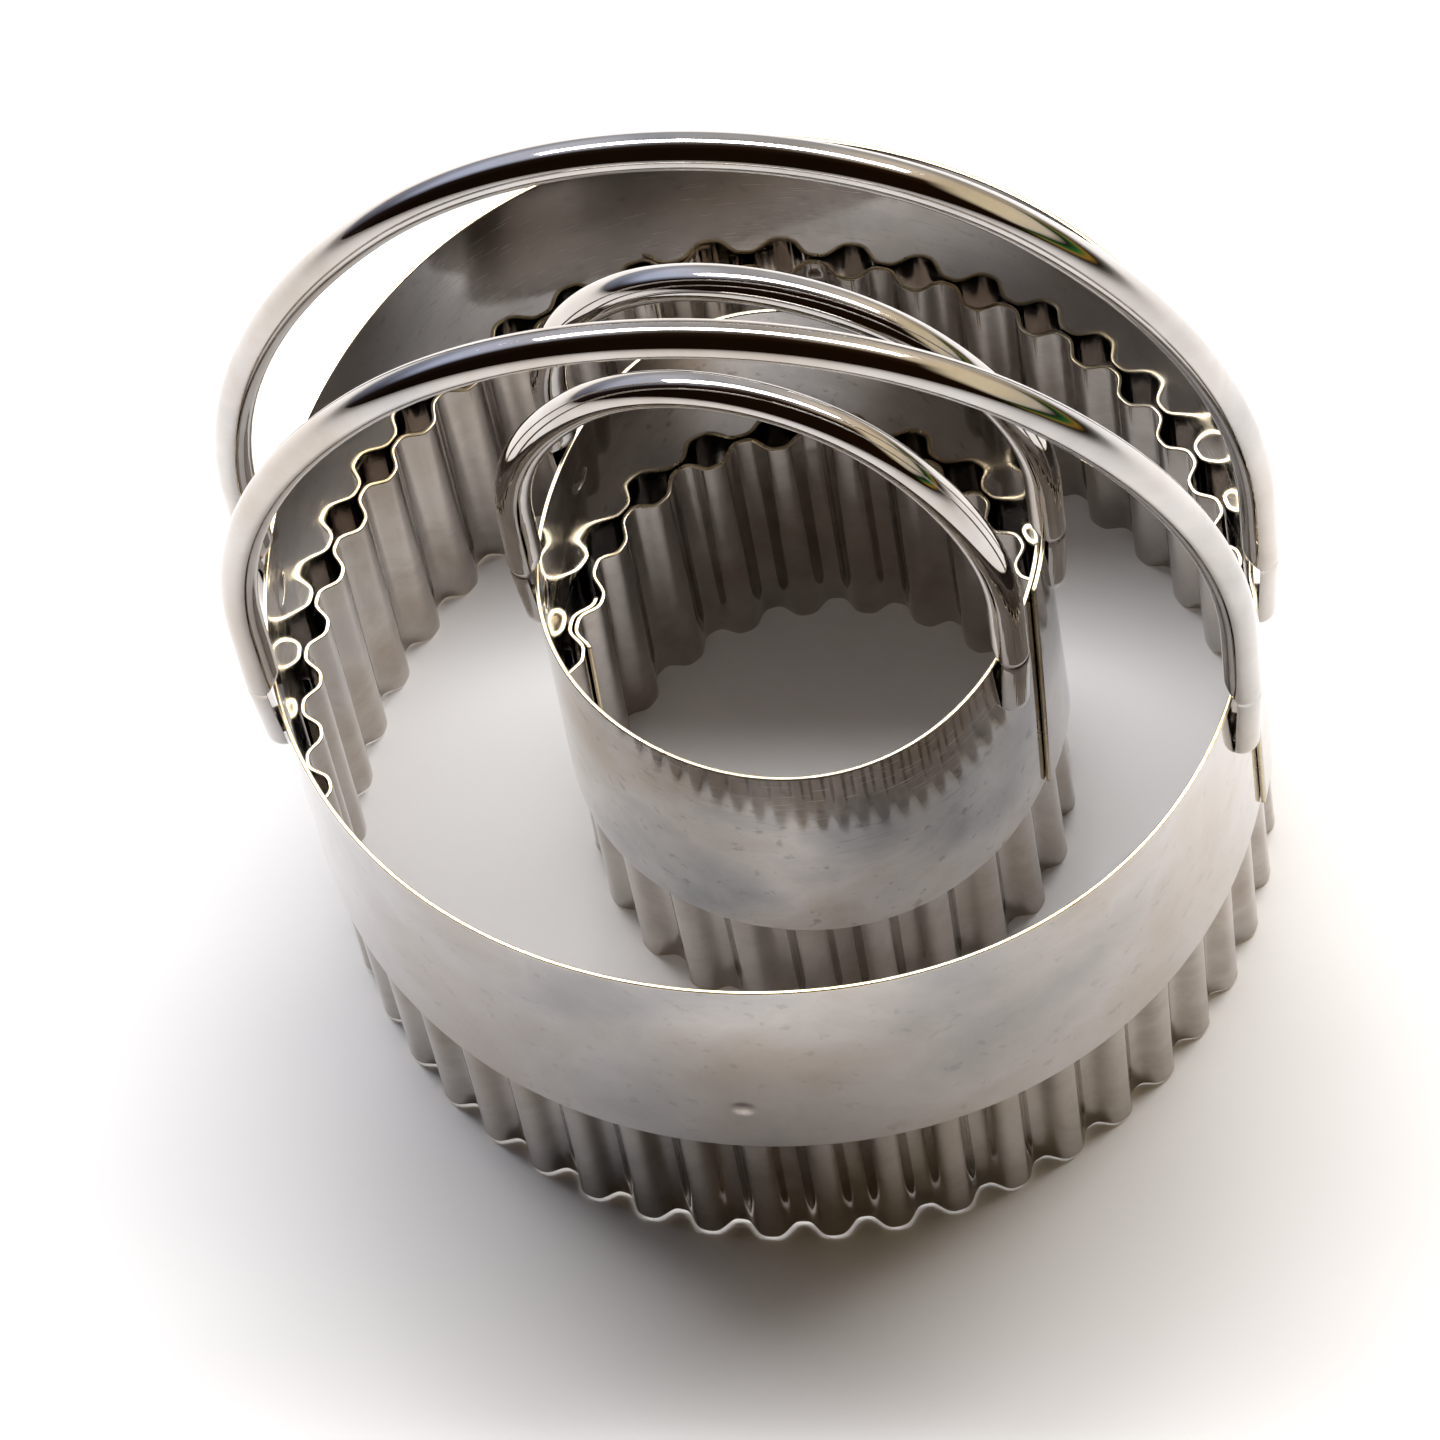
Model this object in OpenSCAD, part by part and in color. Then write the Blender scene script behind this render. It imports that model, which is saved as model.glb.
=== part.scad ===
/* [Sheet and wire] */
// Thickness of the stainless sheet that bands and rings are rolled from
sheet_t = 0.4; // [0.3:0.05:0.5]
// Diameter of the handle wire
wire_d = 3.3; // [2.8:0.1:3.8]
// Gap between a piece and the sheet that it is spot-welded to
seat_gap = 0.1; // [0.08:0.01:0.2]
// Gap between the two layers of sheet in a lap
lap_gap = 0.2; // [0.1:0.05:0.3]
// Diameter of a spot weld
weld_d = 2.4; // [2:0.1:2.8]
// How much a half-round leg is slimmed on its round and flat sides
leg_relief = 0.06; // [0.04:0.01:0.1]
// Distance from a band to the middle of a handle's wire at the top of its legs
leg_stand = 0.6; // [0.4:0.1:1]
// Height above the rim at which the wire of a handle is halved
crease_up = 0.3; // [0.2:0.1:1]

/* [Strips] */
// Width of the strip that a plain band is rolled from
band_h = 30; // [26:1:36]
// Width of the strip that a fluted ring is rolled from
ring_h = 30; // [26:1:36]
// How far a ring reaches up inside its band
overlap = 10; // [8:0.5:14]
// Length of band that the two ends of its strip share
band_lap = 4; // [3:0.5:5]
// Distance of a ring weld below the top edge of the ring
ring_weld_drop = 2.4; // [2:0.1:4]
// Number of spot welds up a band's lap
seam_weld_count = 3; // [2:1:4]
// Number of spot welds round a ring
ring_weld_count = 4; // [3:1:6]

/* [Flutes] */
// Depth of a flute from crest to valley
flute_depth = 1.6; // [1.2:0.1:1.9]
// Broadening of crests and valleys, 0 for a plain wave
flute_flat = 0.1; // [0:0.02:0.12]

/* [Large cutter] */
// Outer diameter of the large band
large_d = 89; // [82:0.5:96]
// Number of flutes round the large ring
large_flutes = 46; // [42:1:48]
// Distance between the large handles, wire centre to wire centre
large_spacing = 13.4; // [12:0.2:18]
// How far the middle between the large handles lies in front of the cutter's axis
large_offset = 6.5; // [0:0.1:8]
// Height of the arch of a large handle, along the middle of the wire
large_arch = 51.5; // [47:0.5:58]
// Height of the foot of that arch above the rim
large_arch_start = 10; // [6:0.5:12]
// Length of the half-round leg of a large handle
large_leg = 10.3; // [8:0.1:12]
// Distance of the weld above the end of a large leg
large_weld_up = 2.9; // [2:0.1:4]

/* [Small cutter] */
// Outer diameter of the small band
small_d = 46.8; // [42:0.2:52]
// Number of flutes round the small ring
small_flutes = 23; // [20:1:25]
// Distance between the small handles, wire centre to wire centre
small_spacing = 13.4; // [12:0.2:16]
// How far the middle between the small handles lies in front of the cutter's axis
small_offset = 0.8; // [-2:0.1:2]
// Height of the arch of a small handle, along the middle of the wire
small_arch = 26.5; // [24:0.5:30]
// Height of the foot of that arch above the rim
small_arch_start = 8.5; // [5:0.5:12]
// Length of the half-round leg of a small handle
small_leg = 9.3; // [8:0.1:12]
// Distance of the weld above the end of a small leg
small_weld_up = 2.9; // [2:0.1:4]

/* [Small cutter's place] */
// How far the small cutter stands to the right of the large one's middle
small_x = 2.4; // [-5:0.1:5]
// How far the small cutter stands behind the large one's middle
small_y = 1.8; // [-5:0.1:5]
// Turn of the small cutter against the large one
small_turn = -11.3; // [-30:0.1:30]

/* [Hidden] */
$fn = 96;

FRONT = -1;
BACK = 1;
INSIDE = -1;
OUTSIDE = 1;

band_z = ring_h - overlap;
rim_z = band_z + band_h;
wire_r = wire_d / 2;
// Radius of the dome that the cut ends of the wire are ground to
dome_r = wire_d * 2 / 3;
// Angle between two points of a band's outline, and points to one flute
band_step = 2;
flute_steps = 12;
// Angle, to the nearest flute, over which a ring steps from one layer of its lap to the other
lap_ramp = 15;
weld_turn = 20;
// Angles of one crest of each ring: the front for the large one
large_crest = -90;
small_crest = -78;
// Angle of the middle of each band's lap
large_seam = -8.2;
small_seam = 1;

// Angle that an arc of the given length takes at radius r
function arc_angle(length, r) = length / r * 180 / PI;

// Radius of the middle of the sheet of a ring inside a band of radius r, halfway up its flutes
function ring_mid_r(r) = r - sheet_t - seat_gap - sheet_t / 2 - flute_depth / 2;

// Radius of a crest's outer face inside a band of radius r
function crest_r(r) = r - sheet_t - seat_gap;

// Point of a rolled sheet at angle a, at distance d outward from the sheet's middle, which waves
// about radius r with n flutes of the given depth and has a valley at angle 0
function sheet_point(a, r, d, depth, n) =
    let (
        wave = depth / 2 / (1 - flute_flat),
        middle = r - wave * (cos(n * a) - flute_flat * cos(3 * n * a)),
        slope = wave * n * (sin(n * a) - 3 * flute_flat * sin(3 * n * a)),
        steep = norm([middle, slope]),
        outward = middle + d * middle / steep,
        sideways = -d * slope / steep
    )
    [outward * cos(a) - sideways * sin(a), outward * sin(a) + sideways * cos(a)];

// How far the sheet has moved from the first layer to the other at angle a, where the step
// from layer to layer takes the last part, ramp, of the full turn
function layer_shift(a, ramp) = (sheet_t + lap_gap) * min(1, max(0, (a - 360 + ramp) / ramp));

// Angles after start up to end, evenly apart by about step
function stretch(start, end, step) =
    let (count = max(1, round((end - start) / step)))
    [for (i = [1:count]) start + i * (end - start) / count];

// Strip of sheet rolled to a ring, whose last stretch lies inside or outside its first one
module rolled_strip(r, height, lap_angle, ramp, step, layer, depth = 0, n = 0) {
    angles = concat(
        [0],
        stretch(0, 360 - ramp, step),
        stretch(360 - ramp, 360, step),
        stretch(360, 360 + lap_angle, step));
    outer = [for (a = angles)
        sheet_point(a, r, layer * layer_shift(a, ramp) + sheet_t / 2, depth, n)];
    inner = [for (i = [len(angles) - 1:-1:0])
        sheet_point(angles[i], r, layer * layer_shift(angles[i], ramp) - sheet_t / 2, depth, n)];
    linear_extrude(height) polygon(concat(outer, inner));
}

// Angle between the lap of a band and the near edge of the leg behind it, at distance y back
// from the axis, where the band steps out
function band_ramp(r, seam, y) =
    foot_angle(r, y) - arc_angle(wire_r + seat_gap, r) - seam - arc_angle(band_lap, r) / 2;

// Plain band of outer radius r, with its lap's middle at angle seam, the outer end in front and
// its back handle at distance y back from the axis
module band(r, seam, y) {
    lap = arc_angle(band_lap, r);
    translate([0, 0, band_z])
        rotate(seam + lap / 2)
            mirror([0, 1, 0])
                rolled_strip(r - sheet_t / 2, band_h, lap, band_ramp(r, seam, y),
                    band_step, OUTSIDE);
}

// Angle of the i-th of a ring's welds, each of which is on a crest
function weld_crest(i, flutes, crest) =
    crest + round(i * flutes / ring_weld_count) * 360 / flutes;

// Fluted ring inside a band of outer radius r, whose strip shares the flute of its last weld
module fluted_ring(r, flutes, crest) {
    pitch = 360 / flutes;
    rotate(weld_crest(ring_weld_count - 1, flutes, crest) - pitch / 2)
        rolled_strip(
            ring_mid_r(r), ring_h, pitch, round(lap_ramp / pitch) * pitch, pitch / flute_steps,
            INSIDE, flute_depth, flutes);
}

// Outer face of one crest, centred on angle 0 and filled down to the valleys
module crest_block(r, flutes) {
    pitch = 360 / flutes;
    face = [for (i = [0:flute_steps])
        sheet_point(i * pitch / flute_steps, ring_mid_r(r), sheet_t / 2, flute_depth, flutes)];
    rotate(-pitch / 2)
        linear_extrude(ring_h)
            polygon(concat([[0, 0]], face));
}

// Reach of a weld's flat end inside a rolled sheet of radius r, where its edge meets the chords
function weld_reach(r) = sqrt(pow(r, 2) - pow(weld_d / 2, 2)) * cos(band_step / 2);

// Spot weld on the X axis, from radius near to radius far, at height z, turned so that the seam
// of its round face stays clear of a crest's edge
module spot_weld(near, far, z) {
    translate([near, 0, z])
        rotate([0, 90, 0])
            rotate(weld_turn)
                cylinder(d = weld_d, h = far - near);
}

// Welds between the crests of a ring and the inside of its band
module ring_welds(r, flutes, crest) {
    for (i = [0:ring_weld_count - 1])
        rotate(weld_crest(i, flutes, crest))
            difference() {
                spot_weld(
                    crest_r(r) - sheet_t / 2, weld_reach(r - sheet_t), ring_h - ring_weld_drop);
                crest_block(r, flutes);
            }
}

// Welds between the two layers of a band's lap
module seam_welds(r, seam) {
    for (i = [1:seam_weld_count])
        rotate(seam)
            spot_weld(r, weld_reach(r + lap_gap), band_z + i * band_h / (seam_weld_count + 1));
}

// Radius at which the middle of a handle's wire stands outside a band of radius r
function foot_r(r) = r + seat_gap + leg_stand;

// How far back from the axis the handle in FRONT or at the BACK stands
function handle_y(spacing, offset, side) = side * spacing / 2 - offset;

// Angle of the right foot of a handle that stands at distance y back from the axis
function foot_angle(r, y) = asin(y / foot_r(r));

// Lean of a half-round leg, which brings the end of its flat face in to the band
function leg_lean(leg) = asin(leg_stand / leg);

// Puts its children at the tops of the two legs of a handle, with +X pointing outward
module at_legs(r, y) {
    angle = foot_angle(r, y);
    for (turn = [angle, 180 - angle])
        rotate(turn)
            translate([foot_r(r), 0, rim_z + crease_up])
                children();
}

// What lies outside a dome whose lowest point is at the origin
module dome_cut() {
    difference() {
        translate([-wire_d, -wire_d, -wire_d])
            cube([2 * wire_d, 2 * wire_d, wire_d + dome_r]);
        translate([0, 0, dome_r])
            sphere(r = dome_r);
    }
}

// Space about the wire on the inner side of the plane at distance x outward, from z up
module inner_side(x, z, height) {
    translate([x - 2 * wire_d, -2 * wire_d, z])
        cube([2 * wire_d, 4 * wire_d, height]);
}

// What is cut off the wire's end: its inner half below a dome, and all below the crease
module wire_end_cut(lean) {
    rotate([0, lean / 2, 0])
        translate([-2 * wire_d, -2 * wire_d, -4 * wire_d])
            cube(4 * wire_d);
    intersection() {
        inner_side(0, -wire_d, wire_d + dome_r);
        dome_cut();
    }
}

// Half-round leg that leans inward from the crease at the origin, and whose top is sunk in the wire
module leaning_leg(leg, lean) {
    sink = leg_relief / 2 / sin(lean);
    rotate([0, lean, 0])
        difference() {
            translate([0, 0, -leg])
                cylinder(r = wire_r - leg_relief, h = leg + sink);
            inner_side(leg_relief, -leg - wire_d, leg + 2 * wire_d);
            translate([0, 0, -leg])
                dome_cut();
        }
}

// Bent wire of a handle in the XY plane, from the foot of its arch at height 0: a crown arc
// between two side arcs, over two straight ends
module bent_wire(half_span, arch, straight) {
    corner = 45;
    side_r = half_span + (arch - half_span) / (1 + tan(corner) - 1 / cos(corner));
    crown_r = side_r - (side_r - half_span) / cos(corner);
    crown_y = (side_r - half_span) * tan(corner);
    translate([0, crown_y, 0])
        rotate_extrude(angle = 180 - 2 * corner, start = corner)
            translate([crown_r, 0])
                circle(d = wire_d);
    for (flip = [0, 1])
        mirror([flip, 0, 0]) {
            translate([half_span - side_r, 0, 0])
                rotate_extrude(angle = corner, start = 0)
                    translate([side_r, 0])
                        circle(d = wire_d);
            translate([half_span, 0, 0])
                rotate([90, 0, 0])
                    cylinder(d = wire_d, h = straight);
        }
}

// Handle of round wire on a band of radius r, at distance y back from the axis, with two
// half-round legs along the outside of the band
module handle(r, y, arch, arch_start, leg) {
    lean = leg_lean(leg);
    half_span = foot_r(r) * cos(foot_angle(r, y));
    difference() {
        translate([0, y, rim_z + arch_start])
            rotate([90, 0, 0])
                bent_wire(half_span, arch, arch_start - crease_up + wire_r);
        at_legs(r, y)
            wire_end_cut(lean);
    }
    at_legs(r, y)
        leaning_leg(leg, lean);
}

// Welds between the flat faces of the four legs and the outside of a band of radius r
module handle_welds(r, spacing, offset, leg, weld_up) {
    lean = leg_lean(leg);
    for (side = [FRONT, BACK])
        at_legs(r, handle_y(spacing, offset, side))
            difference() {
                spot_weld(r - foot_r(r), 0, (weld_up - leg) * cos(lean));
                rotate([0, lean, 0])
                    translate([leg_relief, -wire_d, -2 * leg])
                        cube([wire_d, 2 * wire_d, 2 * leg + wire_d]);
            }
}

// Puts the small cutter where it stands inside the large one
module small_place() {
    translate([small_x, small_y, 0])
        rotate(small_turn)
            children();
}

module small_band() {
    color("gainsboro")
        small_place()
            band(small_d / 2, small_seam, handle_y(small_spacing, small_offset, BACK));
}

module small_fluted_ring() {
    color("silver")
        small_place()
            fluted_ring(small_d / 2, small_flutes, small_crest);
}

module small_front_handle() {
    color("lightgray")
        small_place()
            handle(small_d / 2, handle_y(small_spacing, small_offset, FRONT), small_arch,
                small_arch_start, small_leg);
}

module small_back_handle() {
    color("lightgray")
        small_place()
            handle(small_d / 2, handle_y(small_spacing, small_offset, BACK), small_arch,
                small_arch_start, small_leg);
}

module small_seam_welds() {
    color("darkgray")
        small_place()
            seam_welds(small_d / 2, small_seam);
}

module small_ring_welds() {
    color("darkgray")
        small_place()
            ring_welds(small_d / 2, small_flutes, small_crest);
}

module small_handle_welds() {
    color("darkgray")
        small_place()
            handle_welds(small_d / 2, small_spacing, small_offset, small_leg, small_weld_up);
}

module large_band() {
    color("gainsboro")
        band(large_d / 2, large_seam, handle_y(large_spacing, large_offset, BACK));
}

module large_fluted_ring() {
    color("silver")
        fluted_ring(large_d / 2, large_flutes, large_crest);
}

module large_front_handle() {
    color("lightgray")
        handle(large_d / 2, handle_y(large_spacing, large_offset, FRONT), large_arch,
            large_arch_start, large_leg);
}

module large_back_handle() {
    color("lightgray")
        handle(large_d / 2, handle_y(large_spacing, large_offset, BACK), large_arch,
            large_arch_start, large_leg);
}

module large_seam_welds() {
    color("darkgray")
        seam_welds(large_d / 2, large_seam);
}

module large_ring_welds() {
    color("darkgray")
        ring_welds(large_d / 2, large_flutes, large_crest);
}

module large_handle_welds() {
    color("darkgray")
        handle_welds(large_d / 2, large_spacing, large_offset, large_leg, large_weld_up);
}

small_band();
small_fluted_ring();
small_front_handle();
small_back_handle();
small_seam_welds();
small_ring_welds();
small_handle_welds();
large_band();
large_fluted_ring();
large_front_handle();
large_back_handle();
large_seam_welds();
large_ring_welds();
large_handle_welds();
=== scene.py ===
"""Looks of a nested pair of fluted biscuit cutters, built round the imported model.

Lengths are in millimetres and angles in degrees unless a name or docstring says otherwise.
A cutter is worked out in its own frame, with its axis on Z and its cutting edge at height 0,
and is put in its place as the last step before its points go into a mesh.
"""
import logging
import math
from dataclasses import dataclass, replace
from enum import Enum
from typing import Any, Callable

import bpy
import numpy as np
from mathutils import Matrix


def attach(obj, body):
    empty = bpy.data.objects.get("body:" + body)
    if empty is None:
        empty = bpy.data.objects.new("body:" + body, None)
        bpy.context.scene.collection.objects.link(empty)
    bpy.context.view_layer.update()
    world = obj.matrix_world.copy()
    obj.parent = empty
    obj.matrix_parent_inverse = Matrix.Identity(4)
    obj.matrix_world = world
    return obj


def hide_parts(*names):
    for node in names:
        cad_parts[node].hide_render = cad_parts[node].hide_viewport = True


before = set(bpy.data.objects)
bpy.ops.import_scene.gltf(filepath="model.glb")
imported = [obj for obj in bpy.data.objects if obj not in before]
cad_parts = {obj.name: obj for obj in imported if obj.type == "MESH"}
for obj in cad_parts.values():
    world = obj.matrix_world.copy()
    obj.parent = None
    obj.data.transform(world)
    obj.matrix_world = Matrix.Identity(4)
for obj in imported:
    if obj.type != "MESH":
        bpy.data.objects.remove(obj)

LOG = logging.getLogger("biscuit_cutters")
MM = 0.001
# Length of one unit of a piece's UV map
UV_UNIT = 100.0
# Points round a handle's wire and round a weld plug
WIRE_POINTS = 56
PLUG_POINTS = 32
Array = np.ndarray
Settings = dict[Any, Any]


class Side(Enum):
    """Which of a cutter's two handles is meant, as the sign of its Y."""

    FRONT = -1
    BACK = 1


class Layer(Enum):
    """Where a rolled strip's last stretch lies, seen from its first one."""

    INSIDE = -1
    OUTSIDE = 1


def smooth_step(x: Array) -> Array:
    """Returns 0 below 0, 1 above 1, and 3 x^2 - 2 x^3 between them."""
    x = np.clip(x, 0.0, 1.0)
    return x * x * (3.0 - 2.0 * x)


def dome_scale(distance: Array, length: float, power: float = 2.0) -> Array:
    """Gives how wide a rounded end is, as a share of its full width.

    Formula: (1 - (1 - distance / length)^power)^(1 / power), and 1 beyond length.

    Args:
        distance: How far each point is from the tip.
        length: Length of the rounding.
        power: 2 for a half-ellipse, more for a blunter end.

    Returns:
        The share of the full width at each point.
    """
    left = 1.0 - np.clip(distance / length, 0.0, 1.0)
    return (1.0 - left**power) ** (1.0 / power)


def crowded(start: float, end: float, step: float, spots: list[float], reach: float,
            fine: float) -> Array:
    """Makes a rising list of values, closer together near some spots.

    Args:
        start: First value.
        end: Last value.
        step: Usual distance between values.
        spots: Values that need a finer list about them.
        reach: How far to each side of a spot the list is fine.
        fine: Distance between the fine values.

    Returns:
        The values, none closer than a third of the fine distance.
    """
    values = [np.linspace(start, end, 1 + math.ceil((end - start) / step))]
    for spot in spots:
        values.append(np.arange(spot - reach, spot + reach + fine / 2, fine))
    merged = np.unique(np.concatenate(values))
    merged = merged[(merged >= start) & (merged <= end)]
    keep = np.concatenate([[True], np.diff(merged) > fine / 3])
    keep[-1] = True
    return merged[keep]


def arch_line(half: float, height: float, count: int) -> Array:
    """Makes the middle line of a bent wire: a crown arc between two side arcs.

    The arcs meet at 45 degrees, where they have the same direction.

    Args:
        half: Half the span between the two ends.
        height: Height of the crown above the ends.
        count: Number of points, the ends among them.

    Returns:
        Distance across from the middle and height of each point, from the right end to the left.
    """
    corner = math.pi / 4
    side_radius = half + (height - half) / (1 + math.tan(corner) - 1 / math.cos(corner))
    crown_radius = side_radius - (side_radius - half) / math.cos(corner)
    crown_up = (side_radius - half) * math.tan(corner)
    turn = np.linspace(0.0, math.pi, count)
    on_crown = (turn > corner) & (turn < math.pi - corner)
    radius = np.where(on_crown, crown_radius, side_radius)
    side_middle = np.sign(np.cos(turn)) * (half - side_radius)
    across = radius * np.cos(turn) + np.where(on_crown, 0.0, side_middle)
    up = radius * np.sin(turn) + np.where(on_crown, crown_up, 0.0)
    return np.stack([across, up], -1)


@dataclass
class Shell:
    """A closed surface: a row of rings of points that are joined and capped.

    points has the shape (rings, points, 3), uv (rings, points, 2), and heat, the share
    of tint from 0 to 1, (rings, points): heat tint round the welds, and a painted gold-brown
    reflection at a handle's crease. slots is the material number of each face round a ring.
    """

    points: Array
    uv: Array
    slots: Array
    heat: Array

    def faces(self) -> tuple[Array, Array]:
        """Lists the corners and the material number of each face, outward.

        Face (i, j) joins points j and j + 1 of ring i to those of ring i + 1, and a cap joins
        point j of an end ring to the point as far from its loop's end.
        """
        rings, count, _ = self.points.shape
        i, j = np.meshgrid(np.arange(rings - 1), np.arange(count), indexing="ij")
        k = (j + 1) % count
        walls = np.stack([i * count + j, (i + 1) * count + j, (i + 1) * count + k, i * count + k],
                         -1).reshape(-1, 4)
        a = np.arange(count // 2 - 1)
        cap = np.stack([a, a + 1, count - 2 - a, count - 1 - a], -1)
        corners = np.concatenate([walls, cap, cap[:, ::-1] + (rings - 1) * count])
        slots = np.concatenate([np.tile(self.slots, rings - 1),
                                np.full(2 * len(a), self.slots.max())])
        flat = self.points.reshape(-1, 3)
        p, q, r, s = (flat[corners[:, n]] for n in range(4))
        volume = np.einsum("ij,ij->i", p, np.cross(q, r) + np.cross(r, s)).sum()
        return (corners if volume > 0 else corners[:, ::-1]), slots


def add_shells(name: str, shells: list[Shell], materials: list[bpy.types.Material],
               place: Matrix) -> bpy.types.Object:
    """Makes one object of closed shells.

    Args:
        name: Name of the object.
        shells: The shells.
        materials: The object's material slots in order.
        place: Where the points go, still in millimetres.

    Returns:
        The object, with its place in its mesh and its faces outward.
    """
    corners, slots, first = [], [], 0
    for shell in shells:
        shell_corners, shell_slots = shell.faces()
        corners.append(shell_corners + first)
        slots.append(shell_slots)
        first += shell.heat.size
    faces = np.concatenate(corners)
    points = np.concatenate([shell.points.reshape(-1, 3) for shell in shells])
    points = (points @ np.array(place.to_3x3()).T + np.array(place.translation)) * MM
    uv = np.concatenate([shell.uv.reshape(-1, 2) for shell in shells])[faces.ravel()]
    heat = np.concatenate([shell.heat.ravel() for shell in shells])
    mesh = bpy.data.meshes.new(name)
    mesh.vertices.add(len(points))
    mesh.vertices.foreach_set("co", points.astype(np.float32).ravel())
    mesh.loops.add(faces.size)
    mesh.loops.foreach_set("vertex_index", faces.ravel().astype(np.int32))
    mesh.polygons.add(len(faces))
    mesh.polygons.foreach_set("loop_start", np.arange(0, faces.size, 4, dtype=np.int32))
    mesh.polygons.foreach_set("material_index", np.concatenate(slots).astype(np.int32))
    mesh.polygons.foreach_set("use_smooth", np.ones(len(faces), dtype=bool))
    mesh.uv_layers.new(name="strip").data.foreach_set("uv", uv.astype(np.float32).ravel())
    mesh.attributes.new("heat", "FLOAT", "POINT").data.foreach_set("value", heat.astype(np.float32))
    mesh.update(calc_edges=True)
    mesh.validate()
    for material in materials:
        mesh.materials.append(material)
    piece = bpy.data.objects.new(name, mesh)
    bpy.context.scene.collection.objects.link(piece)
    LOG.info("%s: %d faces", name, len(mesh.polygons))
    return piece


def linear(colour: str) -> tuple[float, float, float, float]:
    """Turns an sRGB colour to linear.

    Args:
        colour: Hex colour, such as #C0B8A8.

    Returns:
        Linear red, green and blue, and an alpha of 1.
    """
    parts = [int(colour[n:n + 2], 16) / 255.0 for n in (1, 3, 5)]
    red, green, blue = (c / 12.92 if c <= 0.04045 else ((c + 0.055) / 1.055) ** 2.4 for c in parts)
    return red, green, blue, 1.0


def add_node(tree: bpy.types.NodeTree, kind: str, settings: Settings,
             **links: Any) -> bpy.types.Node:
    """Adds a node with its settings and its incoming links.

    Args:
        tree: The node tree.
        kind: The node's type, without the words ShaderNode.
        settings: Values by input name or number, or else by attribute name.
        links: Output sockets by input name, with underscores for spaces, or _0 for a number.

    Returns:
        The node.
    """
    node = tree.nodes.new("ShaderNode" + kind)
    for key, value in settings.items():
        if isinstance(key, str) and key in node.bl_rna.properties:
            setattr(node, key, value)
        else:
            node.inputs[key].default_value = value
    for key, socket in links.items():
        target = int(key[1:]) if key.startswith("_") else key.replace("_", " ")
        tree.links.new(socket, node.inputs[target])
    return node


def add_ramp(tree: bpy.types.NodeTree, stops: list[tuple[float, str]],
             factor: bpy.types.NodeSocket) -> bpy.types.NodeSocket:
    """Adds a colour ramp.

    Args:
        tree: The node tree.
        stops: Place from 0 to 1 and hex colour of each stop, in rising order.
        factor: Socket that runs along the ramp.

    Returns:
        The ramp's colour.
    """
    ramp = add_node(tree, "ValToRGB", {}, Fac=factor)
    while len(ramp.color_ramp.elements) < len(stops):
        ramp.color_ramp.elements.new(0.5)
    for element, (place, colour) in zip(ramp.color_ramp.elements, stops):
        element.position = place
        element.color = linear(colour)
    return ramp.outputs["Color"]


def add_tint(tree: bpy.types.NodeTree, share: float, colour: bpy.types.NodeSocket,
             tint: bpy.types.NodeSocket) -> bpy.types.NodeSocket:
    """Adds a colour times a tint, as much of it as the share says, and returns the colour."""
    mix = add_node(tree, "Mix", {"data_type": "RGBA", "blend_type": "MULTIPLY", "Factor": share},
                   _6=colour, _7=tint)
    return mix.outputs[2]


def add_spots(tree: bpy.types.NodeTree, size: float, detail: float, place: bpy.types.NodeSocket,
              **settings: float) -> bpy.types.NodeSocket:
    """Adds a noise pattern.

    Args:
        tree: The node tree.
        size: Size of its coarsest spots in millimetres.
        detail: Number of finer layers over them.
        place: Object coordinates, in metres.
        settings: More of the noise's inputs.

    Returns:
        The noise, mostly between 0.3 and 0.7.
    """
    noise = add_node(tree, "TexNoise", {"Scale": 1.0 / (size * MM), "Detail": detail, **settings},
                     Vector=place)
    return noise.outputs["Fac"]


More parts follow.
